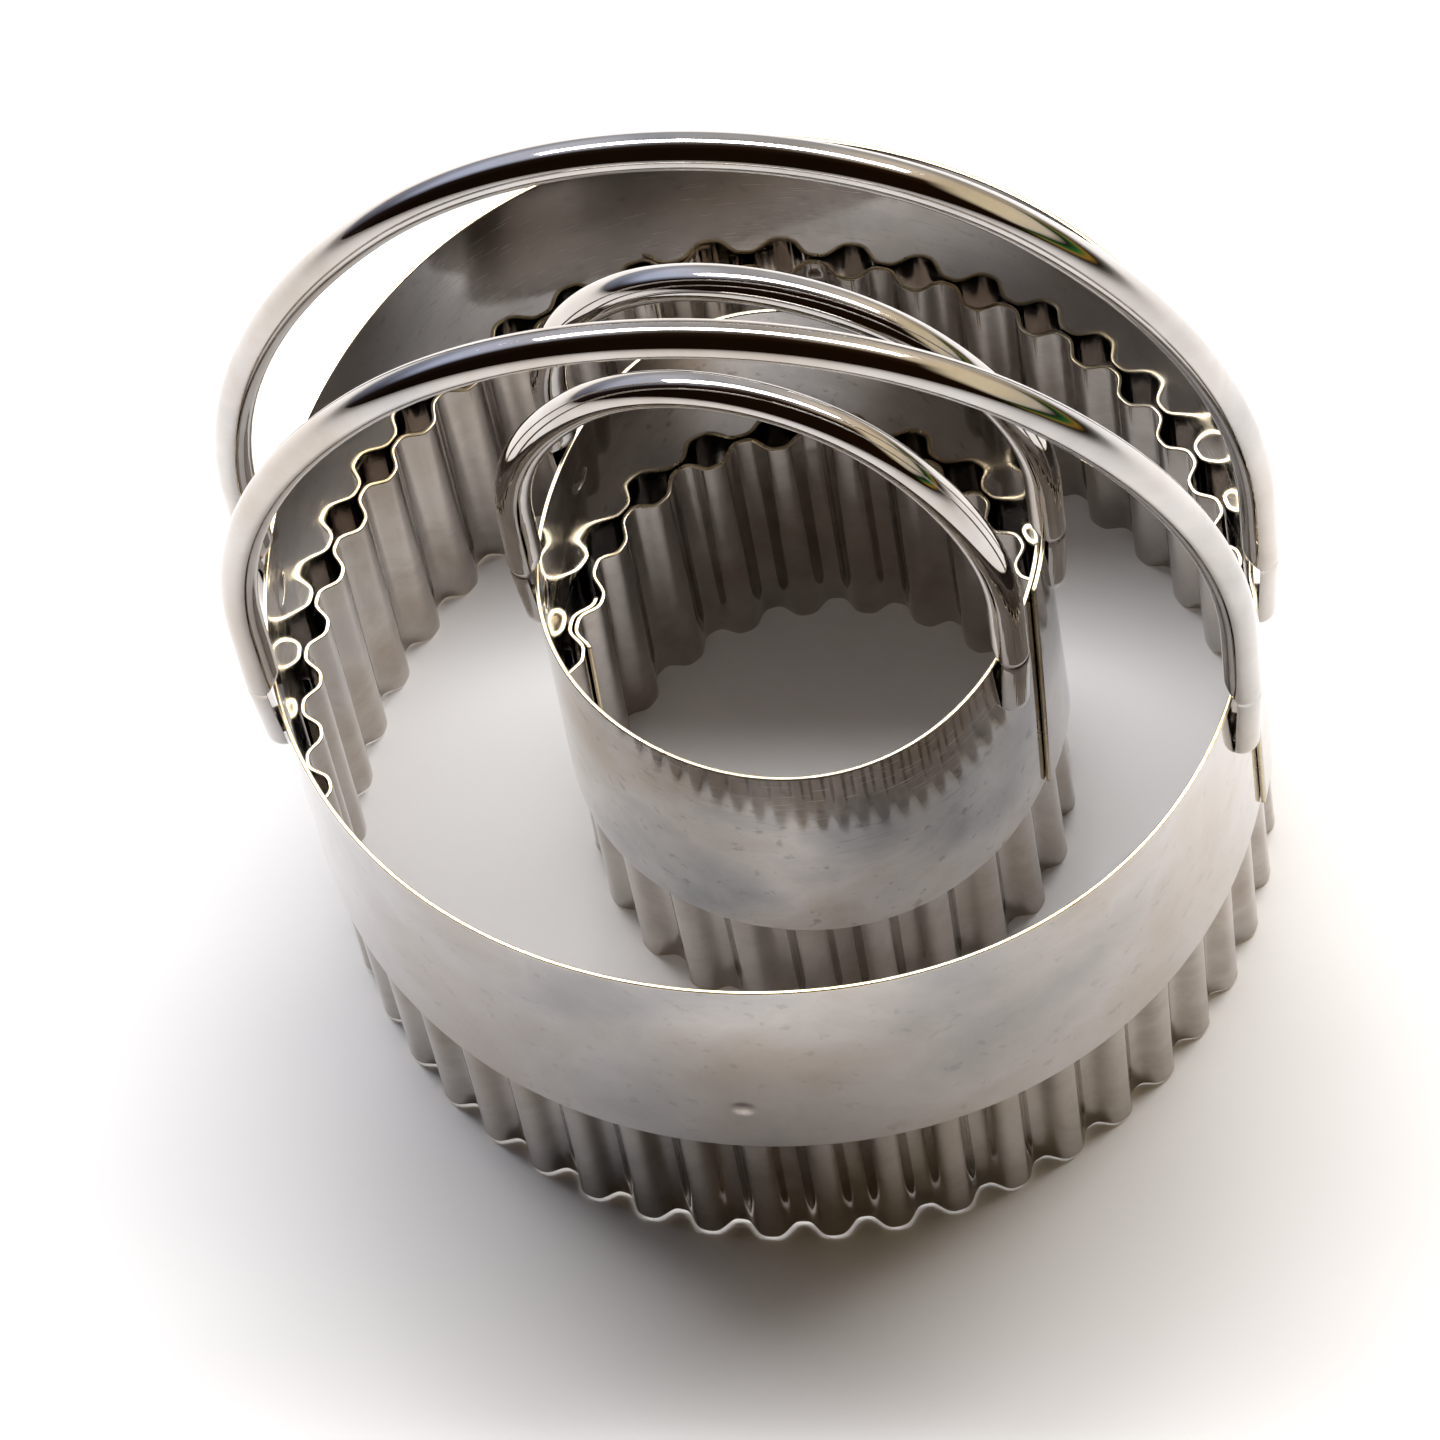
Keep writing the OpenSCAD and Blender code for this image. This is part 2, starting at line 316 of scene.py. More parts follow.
@dataclass(frozen=True)
class Steel:
    """A stainless steel finish: how it mirrors, and what marks it carries.

    The lines follow the strip's own UV map, so that rolling lines run along the strip and
    drawing lines run across it.

    Attributes:
        name: The finish by its common name.
        colour: Hex colour of the clean metal.
        stain: Hex colour of its stains.
        stain_share: How strong the stains are, from 0 to 1.
        roughness: Roughness of the clean metal.
        smudge: How much rougher the smudges are.
        line_spacing: Distance between the mill's lines in millimetres.
        line_depth: Depth of these lines in millimetres.
        lines_along: Whether the lines run along the strip.
        scratch_depth: Depth of the slanting scratches in millimetres.
        specks: How strong the small dark specks are, from 0 to 1.
        hues: How strong the bluish and tan patches are, from 0 to 1.
    """

    name: str
    colour: str
    stain: str
    stain_share: float
    roughness: float
    smudge: float
    line_spacing: float
    line_depth: float
    lines_along: bool
    scratch_depth: float = 0.0
    specks: float = 0.0
    hues: float = 0.4

    def add_colour(self, tree: bpy.types.NodeTree,
                   place: bpy.types.NodeSocket) -> bpy.types.NodeSocket:
        """Adds the metal's colour: stains, specks, a faint play of hues, the tints of heat, and a
        painted gold-brown reflection at the handles' creases.

        Args:
            tree: The material's node tree.
            place: Object coordinates.

        Returns:
            The colour.
        """
        cloud = add_spots(tree, 13.333, 10.0, place, Roughness=0.7, Distortion=0.6)
        share = add_node(tree, "MapRange", {"From Min": 0.42, "From Max": 0.66,
                                            "To Max": self.stain_share}, Value=cloud)
        colour = add_ramp(tree, [(0.0, self.colour), (1.0, self.stain)], share.outputs["Result"])
        if self.specks:
            specks = add_ramp(tree, [(0.3, "#8A8078"), (0.38, "#FFFFFF")],
                              add_spots(tree, 1.4286, 4.0, place))
            colour = add_tint(tree, self.specks, colour, specks)
        hues = add_ramp(tree, [(0.35, "#C3C9D2"), (0.5, "#FFFFFF"), (0.65, "#E2D3C0")],
                        add_spots(tree, 22.222, 6.0, place))
        colour = add_tint(tree, self.hues, colour, hues)
        # Share of weld heat tint, which on a handle's crease is a painted gold-brown reflection
        heat = add_node(tree, "Attribute", {"attribute_name": "heat"})
        uneven = add_node(tree, "MapRange", {"From Min": 0.3, "From Max": 0.7, "To Min": 0.5,
                                             "To Max": 1.3},
                          Value=add_spots(tree, 2.5, 3.0, place))
        glow = add_node(tree, "Math", {"operation": "MULTIPLY", "use_clamp": True},
                        _0=heat.outputs["Fac"], _1=uneven.outputs["Result"])
        tint = add_ramp(tree, [(0.05, "#FFFFFF"), (0.3, "#F0DDB2"), (0.5, "#C49A5E"),
                               (0.7, "#8F6B74"), (0.95, "#66708A")], glow.outputs[0])
        return add_tint(tree, 1.0, colour, tint)

    def add_roughness(self, tree: bpy.types.NodeTree,
                      place: bpy.types.NodeSocket) -> bpy.types.NodeSocket:
        """Adds the roughness, raised in patches by handling smudges.

        Args:
            tree: The material's node tree.
            place: Object coordinates.

        Returns:
            The roughness.
        """
        rough = add_node(tree, "MapRange", {"From Min": 0.38, "From Max": 0.68,
                                            "To Min": self.roughness,
                                            "To Max": self.roughness + self.smudge},
                         Value=add_spots(tree, 4.5455, 7.0, place, Roughness=0.7))
        return rough.outputs["Result"]

    def add_relief(self, tree: bpy.types.NodeTree,
                   uv: bpy.types.NodeSocket) -> bpy.types.NodeSocket:
        """Adds the relief: fine lines of the mill, and sparse slanting scratches over them.

        The mill's real lines are a few hundredths of a millimetre apart. They are drawn about
        ten times as coarse, so that they show. A line is 60 times as long as its spacing, and
        a scratch is 5 mm long and 0.22 mm wide.

        Args:
            tree: The material's node tree.
            uv: The strip's own UV map.

        Returns:
            The surface's direction.
        """
        across = UV_UNIT / self.line_spacing
        along = across / 60.0
        scale = (along, across, 1.0) if self.lines_along else (across, along, 1.0)
        lines_at = add_node(tree, "Mapping", {"Scale": scale}, Vector=uv)
        lines = add_node(tree, "TexNoise", {"Scale": 1.0, "Detail": 2.0, "noise_dimensions": "2D"},
                         Vector=lines_at.outputs["Vector"])
        milled = add_node(tree, "Bump", {"Strength": 1.0, "Distance": self.line_depth * MM},
                          Height=lines.outputs["Fac"])
        slant = add_node(tree, "Mapping", {"Scale": (UV_UNIT / 5.0, UV_UNIT / 0.2222, 1.0),
                                           "Rotation": (0.0, 0.0, math.radians(35.0))}, Vector=uv)
        streaks = add_node(tree, "TexNoise", {"Scale": 1.0, "Detail": 1.0,
                                              "noise_dimensions": "2D"},
                           Vector=slant.outputs["Vector"])
        sparse = add_node(tree, "MapRange", {"From Min": 0.72, "From Max": 0.78},
                          Value=streaks.outputs["Fac"])
        scratched = add_node(tree, "Bump", {"Strength": 1.0, "Distance": self.scratch_depth * MM},
                             Height=sparse.outputs["Result"], Normal=milled.outputs["Normal"])
        return scratched.outputs["Normal"]

    def material(self) -> bpy.types.Material:
        """Builds the material from its colour, roughness and relief.

        Returns:
            The material, named for the finish.
        """
        material = bpy.data.materials.new(self.name)
        material.use_nodes = True
        tree = material.node_tree
        tree.nodes.clear()
        place = add_node(tree, "TexCoord", {})
        shader = add_node(tree, "BsdfPrincipled", {"Metallic": 1.0},
                          Base_Color=self.add_colour(tree, place.outputs["Object"]),
                          Roughness=self.add_roughness(tree, place.outputs["Object"]),
                          Normal=self.add_relief(tree, place.outputs["UV"]))
        add_node(tree, "OutputMaterial", {}, Surface=shader.outputs["BSDF"])
        return material


# Bright-annealed stainless strip: rolled to a near mirror, dulled by smudges and fine scratches
BAND_SHEET = Steel(
    "bright annealed stainless band", colour="#C6C2BF", stain="#9C958C", stain_share=0.32,
    roughness=0.04, smudge=0.07, line_spacing=0.35, line_depth=0.0005, lines_along=True,
    scratch_depth=0.002, specks=0.2, hues=0.5)
# The small band's strip, which was handled more: cloudy, with bluish and tan patches
WORN_BAND = replace(BAND_SHEET, name="stained stainless band", stain_share=0.45, specks=0.4,
                    hues=0.95)
# Strip with pressed flutes: a duller grey with lines down the flutes
RING_SHEET = Steel(
    "pressed stainless flutes", colour="#B8B1AA", stain="#8F867C", stain_share=0.6,
    roughness=0.08, smudge=0.08, line_spacing=0.3, line_depth=0.001, lines_along=False,
    scratch_depth=0.001)
# Sheared edge of the strip: torn metal that scatters a warm light
CUT_EDGE = Steel(
    "sheared stainless edge", colour="#E6D9BC", stain="#CBAE74", stain_share=0.7,
    roughness=0.26, smudge=0.1, line_spacing=0.2, line_depth=0.001, lines_along=False)
# Drawn wire, tumbled to a mirror: sharp streaks of light along it
HANDLE_WIRE = Steel(
    "mirror polished stainless wire", colour="#CBC8C5", stain="#B3ACA2", stain_share=0.5,
    roughness=0.03, smudge=0.04, line_spacing=0.5, line_depth=0.0004, lines_along=True,
    scratch_depth=0.001)
# Resistance weld: dull brown-grey, scaled by the heat
SPOT_WELD = Steel(
    "scaled weld metal", colour="#8B8378", stain="#5E5348", stain_share=0.8,
    roughness=0.38, smudge=0.15, line_spacing=0.3, line_depth=0.002, lines_along=True)


@dataclass(frozen=True)
class Wobble:
    """A slow change round a hoop, as harmonics of the angle.

    Formula: mean, plus the sum of cosine part * cos(order * angle) and sine part
    * sin(order * angle) over the harmonics, which are written as order, cosine part, sine part.
    """

    harmonics: tuple[tuple[int, float, float], ...] = ()
    mean: float = 0.0

    def at(self, angle: Array) -> Array:
        """Works out the change round the hoop.

        Args:
            angle: Angles in radians.

        Returns:
            The change at each angle.
        """
        total = np.full_like(angle, self.mean, dtype=float)
        for order, cosine, sine in self.harmonics:
            total = total + cosine * np.cos(order * angle) + sine * np.sin(order * angle)
        return total


@dataclass(frozen=True)
class WeldMark:
    """Round dent where an electrode pressed on the sheet, at an angle in radians."""

    angle: float
    height: float
    radius: float = 1.7
    depth: float = 0.22

    def closeness(self, angle: Array, height: Array, hoop_radius: float, reach: float) -> Array:
        """Gives how close points are to the mark's middle.

        Formula: (1 - q^2)^2 inside the reach, where q is the distance along the sheet over the
        reach, and 0 outside it.

        Args:
            angle: Angles in radians.
            height: Heights of the same points.
            hoop_radius: Radius of the hoop.
            reach: Distance at which the closeness becomes 0.

        Returns:
            The closeness, 1 in the middle.
        """
        turn = np.angle(np.exp(1j * (angle - self.angle)))
        q = np.hypot(turn * hoop_radius, height - self.height) / reach
        return np.clip(1.0 - q * q, 0.0, None) ** 2


@dataclass(frozen=True)
class Lap:
    """How a strip's two ends overlap.

    Attributes:
        start: Angle of the strip's first end.
        end_top: Angle of its last end at the top.
        end_bottom: The same at the bottom.
        ramp: Angle in which the last stretch steps off the first one.
        gap: Gap between the two layers.
        layer: Whether the last stretch lies inside or outside the first one.
    """

    start: float
    end_top: float
    end_bottom: float
    ramp: float
    gap: float
    layer: Layer


@dataclass(frozen=True)
class Crown:
    """How far one handle's crown stands above, and behind, the plane form of its pair."""

    rise: float = 0.0
    lean: float = 0.0


@dataclass(frozen=True)
class Foot:
    """Top of one leg: the middle of the wire there, in own X and Y, at an angle in radians."""

    angle: float
    spot: Array

    def outward(self) -> Array:
        """Returns the level direction away from the axis."""
        return np.array([math.cos(self.angle), math.sin(self.angle), 0.0])


@dataclass(frozen=True)
class Cutter:
    """One cutter: a plain band over a fluted ring, with two wire handles and their welds.

    Attributes:
        prefix: First word of the cutter's nodes and pieces.
        body: Body that its pieces ride on.
        diameter: Outer diameter of the band.
        flutes: Number of flutes round the ring.
        crest_angle: Angle of one crest.
        flute_drift: How far the crests stray from even spacing, in degrees.
        offset: How far the pair of handles stands in front of the axis.
        arch: Height of a handle's arch.
        arch_start: Height of the arch's ends above the rim.
        crowns: How each handle departs from the pair's form.
        leg: Length of a halved leg.
        rim_wobble: Radial departure of the rim from round.
        edge_wobble: The same of the cutting edge.
        edge_lift: How far the cutting edge rises off the floor.
        band_lap: Lap of the band.
        ring_lap: Lap of the ring.
        seam: Angle of the lap's row of welds.
        x: Where the cutter stands, to the right.
        y: Where the cutter stands, to the back.
        turn: How far it is turned.
        spacing: Distance between the two handles' middles.
        sheet: Thickness of the strip.
        wire: Diameter of the handle wire.
        seat_gap: Gap between pieces that are pressed together.
        leg_stand: How far a leg's flat stands off the band at the crease.
        crease_up: Height above the rim at which the wire is halved.
        weld_up: Height of a leg's weld above the leg's tip.
        weld_diameter: Diameter of a weld plug.
        band_bottom: Height of the band's lower edge.
        ring_top: Height of the ring's upper edge.
        rim: Height of the rim.
        flute_depth: Depth of the flutes.
        flute_flat: Share of the third harmonic that flattens the crests.
        burr: How far the shearing turned the cutting edge outward.
        ring_weld_down: Depth of the ring's welds below its upper edge.
        ring_mark_depth: Depth of the dents that they leave.
        seam_welds: Number of welds in the band's lap.
        ring_welds: Number of welds between ring and band.
    """

    prefix: str
    body: str
    diameter: float
    flutes: int
    crest_angle: float
    flute_drift: Wobble
    offset: float
    arch: float
    arch_start: float
    crowns: dict[Side, Crown]
    leg: float
    rim_wobble: Wobble
    edge_wobble: Wobble
    edge_lift: Wobble
    band_lap: Lap
    ring_lap: Lap
    seam: float
    x: float = 0.0
    y: float = 0.0
    turn: float = 0.0
    spacing: float = 13.4
    sheet: float = 0.4
    wire: float = 3.3
    seat_gap: float = 0.1
    leg_stand: float = 0.6
    crease_up: float = 0.3
    weld_up: float = 2.9
    weld_diameter: float = 2.4
    band_bottom: float = 20.0
    ring_top: float = 30.0
    rim: float = 50.0
    flute_depth: float = 1.6
    flute_flat: float = 0.1
    burr: float = 0.05
    ring_weld_down: float = 2.4
    ring_mark_depth: float = 0.12
    seam_welds: int = 3
    ring_welds: int = 4

    def place(self) -> Matrix:
        """Returns where the cutter stands, in millimetres."""
        turn = Matrix.Rotation(math.radians(self.turn), 4, "Z")
        return Matrix.Translation((self.x, self.y, 0.0)) @ turn

    def wobble(self, angle: Array, height: Array) -> Array:
        """Returns the radial offset of the whole cutter, blended by height from edge to rim."""
        share = height / self.rim
        return (1.0 - share) * self.edge_wobble.at(angle) + share * self.rim_wobble.at(angle)

    def lean(self) -> float:
        """Returns the lean in radians that brings the end of a leg in to the band."""
        return math.asin(self.leg_stand / self.leg)

    def foot(self, right: bool, side: Side) -> Foot:
        """Finds the top of one leg, moved with the out-of-round rim.

        Args:
            right: Whether it is the right leg.
            side: The front or the back handle.

        Returns:
            The leg's top.
        """
        radius = self.diameter / 2 + self.seat_gap + self.leg_stand
        angle = math.asin((side.value * self.spacing / 2 - self.offset) / radius)
        angle = angle if right else math.pi - angle
        radius += float(self.wobble(np.array(angle), np.array(self.rim)))
        return Foot(angle, radius * np.array([math.cos(angle), math.sin(angle)]))

    def leg_marks(self) -> list[WeldMark]:
        """Returns the marks of the welds under the four legs."""
        height = self.rim + self.crease_up - (self.leg - self.weld_up) * math.cos(self.lean())
        return [WeldMark(self.foot(right, side).angle, height)
                for side in Side for right in (True, False)]

    def ring_marks(self) -> list[WeldMark]:
        """Finds the marks of the welds on crests of the ring.

        Returns:
            The marks, evenly spread as far as the crests allow.
        """
        marks = []
        for n in range(self.ring_welds):
            crest = round(n * self.flutes / self.ring_welds) * 360.0 / self.flutes
            angle = math.radians(self.crest_angle + crest)
            angle += math.radians(float(self.flute_drift.at(np.array(angle))))
            marks.append(WeldMark(angle, self.ring_top - self.ring_weld_down, 1.4,
                                  self.ring_mark_depth))
        return marks

    def dents(self, angle: Array, height: Array) -> Array:
        """Adds up the dents of all weld marks.

        Args:
            angle: Angles in radians.
            height: Heights of the same points.

        Returns:
            The radial offset at each point, negative inward.
        """
        total = np.zeros(np.broadcast(angle, height).shape)
        for mark in self.leg_marks() + self.ring_marks():
            total -= mark.depth * mark.closeness(angle, height, self.diameter / 2, mark.radius)
        return total

    def heat(self, angle: Array, height: Array) -> Array:
        """Gives the heat tint of a sheet round its welds.

        Args:
            angle: Angles in radians.
            height: Heights of the same points.

        Returns:
            The share of tint at each point, from 0 to 1.
        """
        strongest, reach = 0.8, 4.2
        total = np.zeros(np.broadcast(angle, height).shape)
        for mark in self.leg_marks() + self.ring_marks():
            total += strongest * mark.closeness(angle, height, self.diameter / 2, reach)
        return np.clip(total, 0.0, 1.0)

    def band_middle(self, angle: Array, height: Array) -> Array:
        """Returns the radius of the middle of the band's sheet, with its dents."""
        radius = self.diameter / 2 - self.sheet / 2
        return radius + self.wobble(angle, height) + self.dents(angle, height)

    def ring_middle(self, angle: Array, height: Array) -> Array:
        """Gives the radius of the middle of the ring's sheet, with its flutes.

        Formula: radius of the hoop minus wave times (cos p - flat cos 3p), where p goes round
        once a flute and is 180 degrees on a crest.

        Args:
            angle: Angles in radians.
            height: Heights of the same points.

        Returns:
            The radius at each point.
        """
        radius = self.diameter / 2 - 1.5 * self.sheet - self.seat_gap - self.flute_depth / 2
        wave = self.flute_depth / 2 / (1.0 - self.flute_flat)
        even = angle - np.radians(self.crest_angle + self.flute_drift.at(angle))
        phase = self.flutes * even + math.pi
        waves = wave * (np.cos(phase) - self.flute_flat * np.cos(3 * phase))
        return radius - waves + self.wobble(angle, height) + self.dents(angle, height)

    def edge_profile(self, heights: Array) -> tuple[Array, Array, Array]:
        """Makes the outline of the cut sheet, up its outer face and down its inner one.

        The cut edges are rounded by a quarter of the sheet's thickness.

        Args:
            heights: Rising heights of the rows on the faces, the first and last being the edges.

        Returns:
            The outward distance and the height of each point, and the face's slot: 0 on the
            faces of the sheet and 1 on its cut edges.
        """
        half, round_r = self.sheet / 2, self.sheet / 4
        # Every edge has a row of its own just off the rounding, and no other one near it
        near, clear = 0.18, 0.45
        bottom, top = heights[0], heights[-1]
        rows = heights[(heights > bottom + clear) & (heights < top - clear)]
        rows = np.concatenate([[bottom + round_r, bottom + near], rows,
                               [top - near, top - round_r]])
        turn = np.radians([30.0, 60.0, 90.0])
        out_top = half - round_r + round_r * np.cos(turn)
        up_top = top - round_r + round_r * np.sin(turn)
        up_bottom = bottom + round_r - round_r * np.sin(turn[::-1])
        out = np.concatenate([out_top[::-1], np.full(len(rows), half), out_top])
        up = np.concatenate([up_bottom, rows, up_top])
        count = len(out)
        edge = np.zeros(2 * count, dtype=int)
        edge[:3] = edge[count - 4:count + 3] = edge[2 * count - 4:] = 1
        return np.concatenate([out, -out[::-1]]), np.concatenate([up, up[::-1]]), edge

    def rolled_sheet(self, name: str, middle: Callable[[Array, Array], Array], lap: Lap,
                     step: float, heights: Array, spots: list[float],
                     materials: list[bpy.types.Material], burr: float = 0.0) -> bpy.types.Object:
        """Rolls a strip to a hoop whose ends overlap.

        A point of the strip is at angle start + share * (length at that height), its radius is
        that of the middle plus the layer's shift, and it lies half the thickness along the
        horizontal normal, which is the path's tangent turned by a right angle.

        Args:
            name: Name of the piece.
            middle: Radius of the sheet's middle for angles in radians and heights.
            lap: The lap of the strip's ends, run through clockwise for an outside lap.
            step: Angle between two rings of points.
            heights: Heights of the rows of points.
            spots: Angles that need finer steps.
            materials: Materials of the faces and of the cut edges.
            burr: How far the shearing turned the lower edge outward, fading out upward.

        Returns:
            The piece.
        """
        offsets, levels, slots = self.edge_profile(heights)
        burr_height = 0.25
        offsets = offsets + burr * np.exp(-(levels - heights[0]) / burr_height)
        way = -1.0 if lap.layer is Layer.OUTSIDE else 1.0
        share_up = (levels - heights[0]) / (heights[-1] - heights[0])
        end = lap.end_bottom + (lap.end_top - lap.end_bottom) * share_up
        overlap = (way * (end - lap.start)) % 360.0
        length = 360.0 + overlap
        mean = 360.0 + float(overlap.mean())
        along = crowded(0.0, mean, step, [(way * (s - lap.start)) % 360.0 for s in spots],
                        reach=4.0, fine=step / 3)
        travelled = along[:, None] / mean * length[None, :]
        angle = np.radians(lap.start + way * travelled)
        height = np.broadcast_to(levels[None, :], angle.shape)
        shift = (self.sheet + lap.gap) * smooth_step((travelled - 360.0 + lap.ramp) / lap.ramp)
        radius = middle(angle, height) + lap.layer.value * shift
        path = np.stack([radius * np.cos(angle), radius * np.sin(angle)], -1)
        tangent = np.gradient(path, axis=0)
        normal = way * np.stack([tangent[..., 1], -tangent[..., 0]], -1)
        normal /= np.linalg.norm(normal, axis=-1, keepdims=True)
        flat = path + normal * offsets[None, :, None]
        raised = height + self.edge_lift.at(angle) * (1.0 - height / self.rim)
        points = np.concatenate([flat, raised[..., None]], -1)
        uv = np.stack([np.radians(travelled) * self.diameter / 2, height], -1) / UV_UNIT
        shell = Shell(points, uv, slots, self.heat(angle, height))
        return add_shells(name, [shell], materials, self.place())

    def add_band(self, materials: list[bpy.types.Material]) -> bpy.types.Object:
        """Makes the plain band with its dents and lapped ends.

        Args:
            materials: Materials of the sheet and of its cut edges.

        Returns:
            The piece.
        """
        marks = self.leg_marks() + self.ring_marks()
        heights = crowded(self.band_bottom, self.rim, 1.0, [mark.height for mark in marks],
                          reach=2.2, fine=0.25)
        return self.rolled_sheet(
            self.prefix + "_band_sheet", self.band_middle, self.band_lap, step=0.8,
            heights=heights, spots=[math.degrees(mark.angle) for mark in marks],
            materials=materials)

    def add_ring(self, materials: list[bpy.types.Material]) -> bpy.types.Object:
        """Makes the fluted cutting ring with its nested end flutes.

        Args:
            materials: Materials of the sheet and of its cut edges.

        Returns:
            The piece.
        """
        heights = crowded(0.0, self.ring_top, 1.5, [self.ring_top - self.ring_weld_down],
                          reach=2.0, fine=0.3)
        steps_a_flute = 24
        return self.rolled_sheet(
            self.prefix + "_fluted_sheet", self.ring_middle, self.ring_lap,
            step=360.0 / self.flutes / steps_a_flute, heights=heights, spots=[],
            materials=materials, burr=self.burr)

    def half_line(self, foot: Foot, inward: Array) -> tuple[Array, Array, Array, Array, Array]:
        """Lays out one leg and the straight wire above it, from the tip up.

        Below the crease, at climb 0, the wire is halved and leans in to the band. Above it, the
        inner half grows to full width along a dome, and the outward direction turns from the
        band's to that of the wire's plane. The tip is a rounded end, and a faint groove runs
        round the wire at the crease.

        Args:
            foot: Top of the leg.
            inward: Level direction from this foot to the other one.

        Returns:
            For each section its middle, its outward direction, the width of its inner half as
            a share, its radius, and its share of tint: heat tint near the weld, and a painted
            gold-brown reflection at the crease.
        """
        dome, tip, groove_depth = 2.2, 1.6, 0.1
        lean = self.lean()
        climb = np.concatenate([
            -self.leg + tip * (1 - np.cos(np.linspace(0.06, math.pi / 2, 10))),
            np.linspace(-self.leg + tip + 0.3, -0.5, 16),
            np.linspace(-0.4, -0.02, 7),
            dome * np.sin(np.linspace(0.02, math.pi / 2, 14)) ** 2,
            np.linspace(dome + 0.2, self.arch_start - self.crease_up - 0.2, 14)])
        on_leg = climb < 0
        down = np.clip(-climb, 0.0, None)[:, None]
        level = foot.spot - foot.outward()[:2] * down * math.sin(lean)
        up = self.rim + self.crease_up + np.where(on_leg, climb * math.cos(lean), climb)
        middle = np.concatenate([level, up[:, None]], -1)
        squeeze = np.where(on_leg, 0.0, dome_scale(climb, dome))
        groove = groove_depth * np.exp(-((climb + 0.15) / 0.25) ** 2)
        radius = (self.wire / 2 - groove) * dome_scale(climb + self.leg, tip, 2.4)
        turned = smooth_step((climb - dome) / (climb[-1] - dome))[:, None]
        outward = foot.outward() * (1 - turned) - inward * turned
        outward[:, 2] = np.where(on_leg, -math.sin(lean), 0.0)
        # The weld tints the wire for about 3 mm. A painted gold-brown reflection rings the crease
        # for less than 1 mm.
        from_weld = climb + self.leg - self.weld_up
        heat = 0.9 * np.exp(-(from_weld / 3.0) ** 2) + 0.45 * np.exp(-(climb / 0.7) ** 2)
        return middle, outward, squeeze, radius, heat

    def add_handle(self, side: Side, materials: list[bpy.types.Material]) -> bpy.types.Object:
        """Makes one handle: an arch of round wire on two half-round legs.

        Each section is a circle of the wire's radius, whose inner half is narrowed by its
        share. It stands square to the middle line, which is the two half lines with the arch
        between them, leaned by the crown's lean * (height above the rim as a share)^2.

        Args:
            side: The front or the back handle.
            materials: Material of the wire.

        Returns:
            The piece.
        """
        crown = self.crowns[side]
        right, left = self.foot(True, side), self.foot(False, side)
        centre = (right.spot + left.spot) / 2
        half = (right.spot - left.spot) / 2
        span = float(np.linalg.norm(half))
        across = np.array([*(half / span), 0.0])
        spring = self.rim + self.arch_start
        arch = arch_line(span, self.arch + crown.rise, count=181)[1:-1]
        top = np.concatenate([centre + arch[:, :1] * across[:2], spring + arch[:, 1:]], -1)
        rise = np.gradient(top, axis=0)
        rise /= np.linalg.norm(rise, axis=-1, keepdims=True)
        top_out = np.cross(rise, [-across[1], across[0], 0.0])
        top_out *= np.sign(top_out[0] @ across)
        up = self.half_line(right, -across)
        down = self.half_line(left, across)
        count = len(top)
        over = (top, top_out, np.ones(count), np.full(count, self.wire / 2), np.zeros(count))
        middle, outward, squeeze, radius, heat = (
            np.concatenate([first, second, third[::-1]])
            for first, second, third in zip(up, over, down))
        height = np.clip(middle[:, 2] - self.rim, 0.0, None)
        middle[:, 1] += crown.lean * (height / height.max()) ** 2
        tangent = np.gradient(middle, axis=0)
        tangent /= np.linalg.norm(tangent, axis=-1, keepdims=True)
        outward -= tangent * np.einsum("ij,ij->i", outward, tangent)[:, None]
        outward /= np.linalg.norm(outward, axis=-1, keepdims=True)
        sideways = np.cross(tangent, outward)
        turn = (np.arange(WIRE_POINTS) + 0.5) / WIRE_POINTS * 2 * math.pi
        cosine = np.cos(turn)[None, :]
        out = np.where(cosine < 0, cosine * squeeze[:, None], cosine) * radius[:, None]
        aside = np.sin(turn)[None, :] * radius[:, None]
        section = outward[:, None] * out[..., None] + sideways[:, None] * aside[..., None]
        points = middle[:, None] + section
        run = np.concatenate([[0], np.cumsum(np.linalg.norm(np.diff(middle, axis=0), axis=-1))])
        uv = np.stack(np.broadcast_arrays(run[:, None], turn[None, :] * self.wire / 2), -1)
        shell = Shell(points, uv / UV_UNIT, np.zeros(WIRE_POINTS, dtype=int),
                      np.repeat(heat[:, None], WIRE_POINTS, 1))
        name = f"{self.prefix}_{side.name.lower()}_wire"
        return add_shells(name, [shell], materials, self.place())

    def plug(self, angle: float, height: float, near: float, far: float) -> Shell:
        """Makes a short round weld plug that points outward.

        Formula: a circle in the plane square to the outward direction, at four distances, with
        the first and last one slightly smaller.

        Args:
            angle: Its angle in radians.
            height: Height of its middle.
            near: Radius at which it starts.
            far: Radius at which it ends.

        Returns:
            The plug.
        """
        bevel = 0.02
        out = np.array([near, near + bevel, far - bevel, far])
        wide = self.weld_diameter / 2 * np.array([0.94, 1.0, 1.0, 0.94])
        turn = (np.arange(PLUG_POINTS) + 0.5) / PLUG_POINTS * 2 * math.pi
        side = wide[:, None] * np.cos(turn)[None, :]
        up = height + wide[:, None] * np.sin(turn)[None, :]
        x = out[:, None] * math.cos(angle) - side * math.sin(angle)
        y = out[:, None] * math.sin(angle) + side * math.cos(angle)
        return Shell(np.stack([x, y, up], -1), np.stack([side, up], -1) / UV_UNIT,
                     np.zeros(PLUG_POINTS, dtype=int), np.zeros(side.shape))

    def seam_plugs(self) -> list[Shell]:
        """Makes the welds between the two layers of the band's lap.

        Returns:
            The plugs, each sunk a little into both layers.
        """
        angle = math.radians(self.seam)
        step = (self.rim - self.band_bottom) / (self.seam_welds + 1)
        sunk = 0.1
        plugs = []
        for n in range(self.seam_welds):
            height = self.band_bottom + (n + 1) * step
            near = float(self.band_middle(np.array(angle), np.array(height))) + self.sheet / 2
            plugs.append(self.plug(angle, height, near - sunk, near + self.band_lap.gap + sunk))
        return plugs

